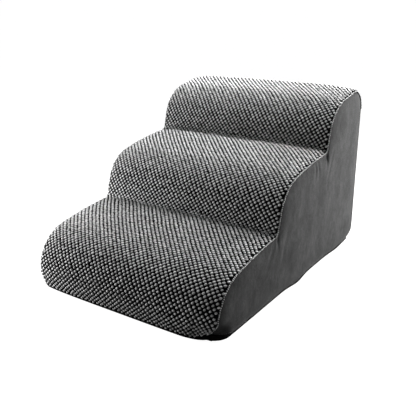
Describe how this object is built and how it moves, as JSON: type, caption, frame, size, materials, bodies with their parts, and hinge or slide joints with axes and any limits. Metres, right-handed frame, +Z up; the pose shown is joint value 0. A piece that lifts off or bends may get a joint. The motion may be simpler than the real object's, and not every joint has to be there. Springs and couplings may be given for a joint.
{
  "type": "foam pet stairs",
  "caption": "Low foam pet stairs with wavy padded steps, knobbly plush treads, plain suede sides and a zipped cover.",
  "frame": {"origin": "floor level, under the middle of the overall box", "axes": "+X to the right seen from the low front step, +Y from the low front step to the tall back, +Z up"},
  "size_m": [0.4, 0.5609, 0.3376],
  "materials": {
    "foam": "open-cell foam",
    "soft_foam": "soft open-cell foam",
    "liner": "thin non-woven",
    "tread_fabric": "knobbly plush, pale puffs on a black ground",
    "side_fabric": "matte suede",
    "base_cloth": "black woven non-slip cloth",
    "grip_rubber": "moulded dots",
    "zipper_tape": "woven tape",
    "zipper_coil": "nylon coil",
    "zipper_metal": "dark gunmetal lacquer",
    "label_satin": "woven satin, blank"
  },
  "bodies": {
    "stairs": {"foam_core": "foam", "comfort_layer": "soft_foam", "inner_liner": "liner", "tread_panel": "tread_fabric", "side_panel_left": "side_fabric", "side_panel_right": "side_fabric", "back_panel_upper": "side_fabric", "back_panel_lower": "side_fabric", "base_panel": "base_cloth", "grip_dots": "grip_rubber", "zipper_tape_upper": "zipper_tape", "zipper_tape_lower": "zipper_tape", "zipper_coil_upper": "zipper_coil", "zipper_coil_lower": "zipper_coil", "zipper_top_stops": "zipper_metal", "zipper_bottom_stop": "zipper_metal", "care_label": "label_satin"},
    "slider": {"zipper_slider": "zipper_metal"},
    "pull": {"zipper_pull": "zipper_metal"}
  },
  "joints": [
    {"name": "zip_slide", "type": "slide", "parent": "stairs", "child": "slider", "axis": [1, 0, 0], "range_m": [0, 0.322]},
    {"name": "pull_turn", "type": "hinge", "parent": "slider", "child": "pull", "pos_m": [-0.162, 0.2783, 0.062], "axis": [0, 0, 1], "range_deg": [0, 175]}
  ]
}
